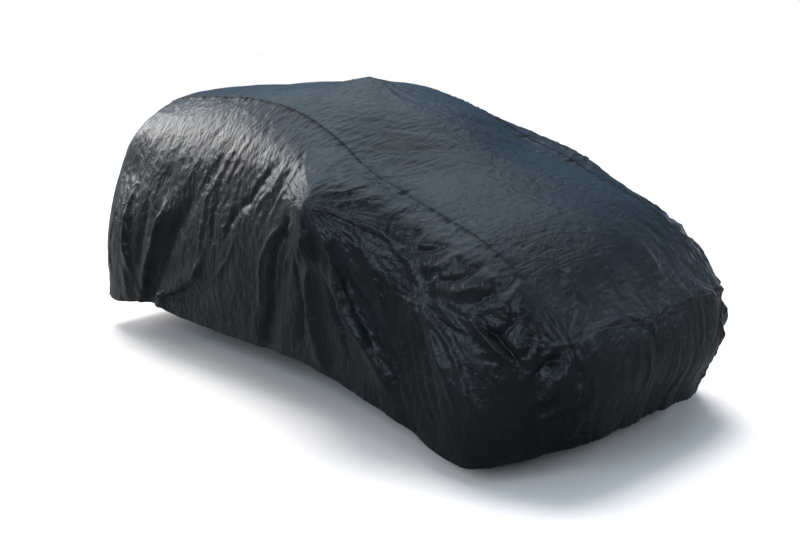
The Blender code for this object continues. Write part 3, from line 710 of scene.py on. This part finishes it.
def coatedNylon():
    material = bpy.data.materials.new("coatedNylon")
    material.use_nodes = True
    tree = material.node_tree
    link = tree.links.new
    shader = tree.nodes["Principled BSDF"]
    shader.inputs["Sheen Weight"].default_value = nylon["sheen"]
    shader.inputs["Sheen Roughness"].default_value = nylon["sheenRoughness"]
    shader.inputs["Sheen Tint"].default_value = nylon["sheenTint"]
    shader.inputs["Specular IOR Level"].default_value = nylon["specular"]
    place = nodeOf(tree, "TexCoord", (-2200, 0)).outputs["Object"]
    uv = nodeOf(tree, "UVMap", (-2200, -500), uv_map="cloth").outputs["UV"]
    pull = nodeOf(tree, "Attribute", (-2200, -900), attribute_name="pull").outputs["Vector"]
    held = nodeOf(tree, "Attribute", (-2200, -1100), attribute_name="held").outputs["Fac"]

    dust = nodeOf(tree, "TexNoise", (-1200, 300), Scale=nylon["dustScale"], Detail=5.0, Roughness=0.62)
    link(place, dust.inputs["Vector"])
    tone = nodeOf(tree, "MapRange", (-900, 300))
    link(dust.outputs["Fac"], tone.inputs["Value"])
    tone.inputs["From Min"].default_value = nylon["dustFrom"]
    tone.inputs["From Max"].default_value = nylon["dustTo"]
    colour = nodeOf(tree, "Mix", (-600, 300), data_type="RGBA")
    colour.inputs[6].default_value, colour.inputs[7].default_value = nylon["colour"], nylon["dusty"]
    link(tone.outputs["Result"], colour.inputs["Factor"])
    link(colour.outputs[2], shader.inputs["Base Color"])
    rough = nodeOf(tree, "MapRange", (-900, 60))
    link(dust.outputs["Fac"], rough.inputs["Value"])
    rough.inputs["To Min"].default_value, rough.inputs["To Max"].default_value = nylon["roughness"]
    stitch = nodeOf(tree, "Attribute", (-1200, -100), attribute_name="stitch").outputs["Fac"]
    dulled = nodeOf(tree, "Math", (-600, 60), operation="MULTIPLY_ADD")     # the seam's thread is dull
    link(stitch, dulled.inputs[0])
    dulled.inputs[1].default_value = nylon["stitchDull"]
    link(rough.outputs["Result"], dulled.inputs[2])
    link(dulled.outputs["Value"], shader.inputs["Roughness"])

    # creases too fine for the mesh, coarse to fine, and the weave last
    crush = crest(tree, place, (-1900, -200), Scale=nylon["crush"], Detail=1.0, Distortion=0.6)
    normal = raised(tree, crush, None, nylon["crushHeight"], (-900, -200), 0.35)
    lengthwise = nodeOf(tree, "Mapping", (-2000, -500))
    lengthwise.inputs["Scale"].default_value = (nylon["strainAcross"], nylon["strainAlong"], 1)
    link(uv, lengthwise.inputs["Vector"])
    alongCloth = lengthwise.outputs["Vector"]
    strain = crest(tree, alongCloth, (-1800, -500), Scale=1.0, Detail=1.5, Distortion=0.5)
    patches = nodeOf(tree, "TexNoise", (-1500, -700), Scale=nylon["patches"], Detail=1.0)
    link(place, patches.inputs["Vector"])
    strain = times(tree, strain, patches.outputs["Fac"], (-1100, -500))
    normal = raised(tree, strain, normal, nylon["strainHeight"], (-700, -400))
    rays = nodeOf(tree, "VectorMath", (-2000, -900), operation="SCALE", Scale=nylon["pullRays"])
    link(pull, rays.inputs[0])
    spread = crest(tree, rays.outputs["Vector"], (-1800, -900), Scale=1.0, Detail=1.0)
    spread = times(tree, spread, held, (-1100, -900))
    normal = raised(tree, spread, normal, nylon["pullHeight"], (-500, -600))
    crinkle = crest(tree, place, (-1800, -1200), Scale=nylon["crinkle"], Detail=2.0, Distortion=0.7)
    crinkle = times(tree, crinkle, patches.outputs["Fac"], (-1100, -1200))
    normal = raised(tree, crinkle, normal, nylon["crinkleHeight"], (-350, -800), 0.8)
    threads = []
    for turn in ("X", "Y"):
        thread = nodeOf(tree, "TexWave", (-1200, -1500 if turn == "X" else -1750), wave_type="BANDS",
                        bands_direction=turn, Scale=1 / (nylon["weave"] * math.tau), Distortion=0.4)
        link(uv, thread.inputs["Vector"])
        threads.append(thread.outputs["Fac"])
    weave = times(tree, *threads, (-900, -1600))
    normal = raised(tree, weave, normal, nylon["weaveHeight"], (-200, -1000), 0.3)
    link(normal, shader.inputs["Normal"])
    return material


def pullOf(points):         # which way the nearer mirror draws the cloth, and how hard
    right = points[..., :1] < 0
    pulls, radii = [], []
    for name in ("leftMirror", "rightMirror"):
        place, axis = hubs[name][:2]
        out, turn = aroundHub(points, place, axis)
        radius = np.linalg.norm(out, axis=-1)
        radii.append(radius)
        outward = pulled["spiral"] * np.log(radius + fan["core"])
        pulls.append(np.stack([np.cos(turn), np.sin(turn), outward], axis=-1))
    radius = np.where(right[..., 0], radii[1], radii[0])
    held = np.exp(-((radius / pulled["reach"]) ** 2)) * np.minimum(radius / pulled["hole"], 1)
    return np.where(right, pulls[1], pulls[0]), held


def layPanel(name, node, points, facing, flat, area, material, stitch):
    rows, cells = points.shape[:2]
    bm = bmesh.new()
    bmesh.ops.create_grid(bm, x_segments=cells - 1, y_segments=rows - 1, size=0.5)
    if facing < 0:
        bmesh.ops.reverse_faces(bm, faces=bm.faces)
    mesh = bpy.data.meshes.new(name)
    bm.to_mesh(mesh)
    bm.free()
    mesh.vertices.foreach_set("co", points.astype(np.float32).ravel())
    along = chords(points[:, cells // 2])
    downs = chords(points[rows // 2])
    cloth = np.stack(np.meshgrid(along, downs, indexing="ij"), axis=-1).reshape(-1, 2)
    corners = np.empty(len(mesh.loops), np.int32)
    mesh.loops.foreach_get("vertex_index", corners)
    mesh.uv_layers.new(name="cloth").data.foreach_set("uv", cloth[corners].astype(np.float32).ravel())
    pull, held = pullOf(points + stand)
    for label, kind, field, values in (("pull", "FLOAT_VECTOR", "vector", pull),
                                       ("held", "FLOAT", "value", held),
                                       ("stitch", "FLOAT", "value", stitch)):
        data = mesh.attributes.new(label, kind, "POINT").data
        data.foreach_set(field, values.astype(np.float32).ravel())
    mesh.update()
    mesh.shade_smooth()
    mesh.materials.append(material)
    panel = bpy.data.objects.new(name, mesh)
    bpy.context.scene.collection.objects.link(panel)
    wall = panel.modifiers.new("thickness", "SOLIDIFY")
    wall.thickness, wall.offset = cut["thickness"], -1
    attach(panel, "root")
    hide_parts(node)


panels, stand = drapedPanels()
print("draped", {name: points.shape for name, points in panels.items()})

stitched = crease(panels)
print("creased")
for points in panels.values():
    points -= stand
material = coatedNylon()
centre, left, right = (panels[name] for name in ("centre", "left", "right"))
centreFlat, sideFlat = ((1.35, 5.8), 6.2), ((1.5, 4.6), 4.9)            # width and length, area
layPanel("centrePanel", "centre_panel", centre, 1, *centreFlat, material, stitched["centre"])
layPanel("leftSidePanel", "left_side_panel", left, 1, *sideFlat, material, stitched["left"])
layPanel("rightSidePanel", "right_side_panel", right, -1, *sideFlat, material, stitched["right"])
print("panels laid")

studio = {
    "discRadius": 60.0, "floorTone": (0.41, 0.373, 0.353, 1), "backdrop": (1.0, 1.0, 1.0, 1),
    # tone and lift of a dark disc seen only in the cloth's reflections, a painted dark reflection
    "reflectionShadeTone": (0.115, 0.11, 0.105, 1), "reflectionShadeLift": 0.002,
    "sky": (0.12, 0.265, 0.44, 1), "dark": (0.02, 0.02, 0.02, 1),     # the two sides of the room
    "skyFrom": (0.50, 0.45, 0.62), "skyEdge": (0.30, 0.95),
    "sun": 2.9, "sunSpread": 70, "sunFrom": (0.5, 1.0, 2.6), "sunColour": (0.74, 0.89, 1.0),
    "shadowSun": 6.4, "shadowSpread": 32,      # for the floor and its shadow; the cloth doesn't mirror it
    "camera": (-3.724, -4.26, 1.934), "heading": 42.32, "tilt": 13.72, "roll": -0.42, "lens": 44.84,
}
lamps = {  # where, what it looks at, width and height, power, colour
    "behind": ((-3.2, 8.4, 4.5), (-0.8, 0.4, 1.1), (6.5, 4.3), 1020, (1, 1, 1)),
    "nearSide": ((-8.0, -1.6, 4.6), (-0.8, -1.4, 0.7), (6.0, 4.0), 820, (0.66, 0.84, 1.0)),
    "overhead": ((-1.6, -0.3, 6.6), (-0.7, -1.2, 1.0), (4.5, 4.5), 60, (0.70, 0.86, 1.0)),
    "front": ((3.3, -8.0, 4.7), (0, -1.9, 0.7), (8.0, 4.8), 640, (0.68, 0.85, 1.0)),
    "corner": ((-6.0, -7.2, 4.4), (-0.7, -1.7, 0.6), (1.2, 1.2), 180, (0.84, 0.92, 1.0)),
    "farSide": ((8.0, -0.8, 1.2), (0.8, 0, 0.8), (5.0, 1.6), 36, (0.94, 0.96, 1.0)),
}


def layDisc(name, paintName, segments, height, tone, specular):
    bm = bmesh.new()
    bmesh.ops.create_circle(bm, cap_ends=True, segments=segments, radius=studio["discRadius"])
    bmesh.ops.translate(bm, verts=bm.verts, vec=(0, 0, height - stand[2]))
    mesh = bpy.data.meshes.new(name)
    bm.to_mesh(mesh)
    bm.free()
    disc = bpy.data.objects.new(name, mesh)
    bpy.context.scene.collection.objects.link(disc)
    paint = bpy.data.materials.new(paintName)
    paint.use_nodes = True
    shader = paint.node_tree.nodes["Principled BSDF"]
    shader.inputs["Base Color"].default_value = tone
    shader.inputs["Roughness"].default_value = 1.0
    shader.inputs["Specular IOR Level"].default_value = specular
    mesh.materials.append(paint)
    return disc


def hang(name, lamp, place, target):
    thing = bpy.data.objects.new(name, lamp)
    thing.location = place
    thing.rotation_euler = (Vector(target) - Vector(place)).to_track_quat("-Z", "Y").to_euler()
    bpy.context.scene.collection.objects.link(thing)
    return thing


def areaLamp(name, place, target, size, power, colour):
    lamp = bpy.data.lights.new(name, "AREA")
    lamp.shape, lamp.size, lamp.size_y = "RECTANGLE", size[0], size[1]
    lamp.energy, lamp.color = power, colour
    hang(name, lamp, place, target).visible_camera = False


def hangSun(name, power, spread):
    sun = bpy.data.lights.new(name, "SUN")
    sun.energy, sun.angle = power, math.radians(spread)
    return hang(name, sun, studio["sunFrom"], (0, 0, 0))


floor = layDisc("floor", "paleFloor", 96, 0, studio["floorTone"], 0.0)
# painted dark reflection: a dark disc met only by the cloth's reflections, never by the camera, diffuse
# light or shadows, so the cloth mirrors dark ground instead of the pale floor
reflectionShadeDisc = layDisc("paintedDarkReflection", "paintedDarkReflection", 48, studio["reflectionShadeLift"], studio["reflectionShadeTone"], 0.5)
reflectionShadeDisc.visible_camera = reflectionShadeDisc.visible_diffuse = reflectionShadeDisc.visible_shadow = False
hangSun("softSun", studio["sun"], studio["sunSpread"]).data.color = studio["sunColour"]
hangSun("shadowSun", studio["shadowSun"], studio["shadowSpread"]).visible_glossy = False
for name, lamp in lamps.items():
    areaLamp(name, *lamp)
print("lamps hung")
world = bpy.data.worlds.new("studio")
world.use_nodes = True
shade = world.node_tree
aim = shade.nodes.new("ShaderNodeTexCoord")
side = shade.nodes.new("ShaderNodeVectorMath")
side.operation = "DOT_PRODUCT"
side.inputs[1].default_value = Vector(studio["skyFrom"]).normalized()
sky = shade.nodes.new("ShaderNodeValToRGB")
sky.color_ramp.elements[0].position, sky.color_ramp.elements[1].position = studio["skyEdge"]
sky.color_ramp.elements[0].color, sky.color_ramp.elements[1].color = studio["dark"], studio["sky"]
seen = shade.nodes.new("ShaderNodeLightPath")
pale = shade.nodes.new("ShaderNodeBackground")
pale.inputs["Color"].default_value = studio["backdrop"]
mixed = shade.nodes.new("ShaderNodeMixShader")
shade.links.new(aim.outputs["Generated"], side.inputs[0])
shade.links.new(side.outputs["Value"], sky.inputs["Fac"])
shade.links.new(sky.outputs["Color"], shade.nodes["Background"].inputs["Color"])
shade.links.new(seen.outputs["Is Camera Ray"], mixed.inputs["Fac"])
shade.links.new(shade.nodes["Background"].outputs[0], mixed.inputs[1])
shade.links.new(pale.outputs[0], mixed.inputs[2])
shade.links.new(mixed.outputs[0], shade.nodes["World Output"].inputs["Surface"])
bpy.context.scene.world = world
bpy.context.scene.view_settings.view_transform = "Standard"

lens = bpy.data.cameras.new("camera")
lens.lens, lens.sensor_width = studio["lens"], 36
camera = bpy.data.objects.new("camera", lens)
camera.location = Vector(studio["camera"]) - Vector(stand)
camera.rotation_mode = "QUATERNION"
camera.rotation_quaternion = (
    Euler((0, 0, -math.radians(studio["heading"]))).to_quaternion()
    @ Euler((math.radians(90 - studio["tilt"]), 0, 0)).to_quaternion()
    @ Euler((0, 0, math.radians(studio["roll"]))).to_quaternion()
)
bpy.context.scene.collection.objects.link(camera)
bpy.context.scene.camera = camera
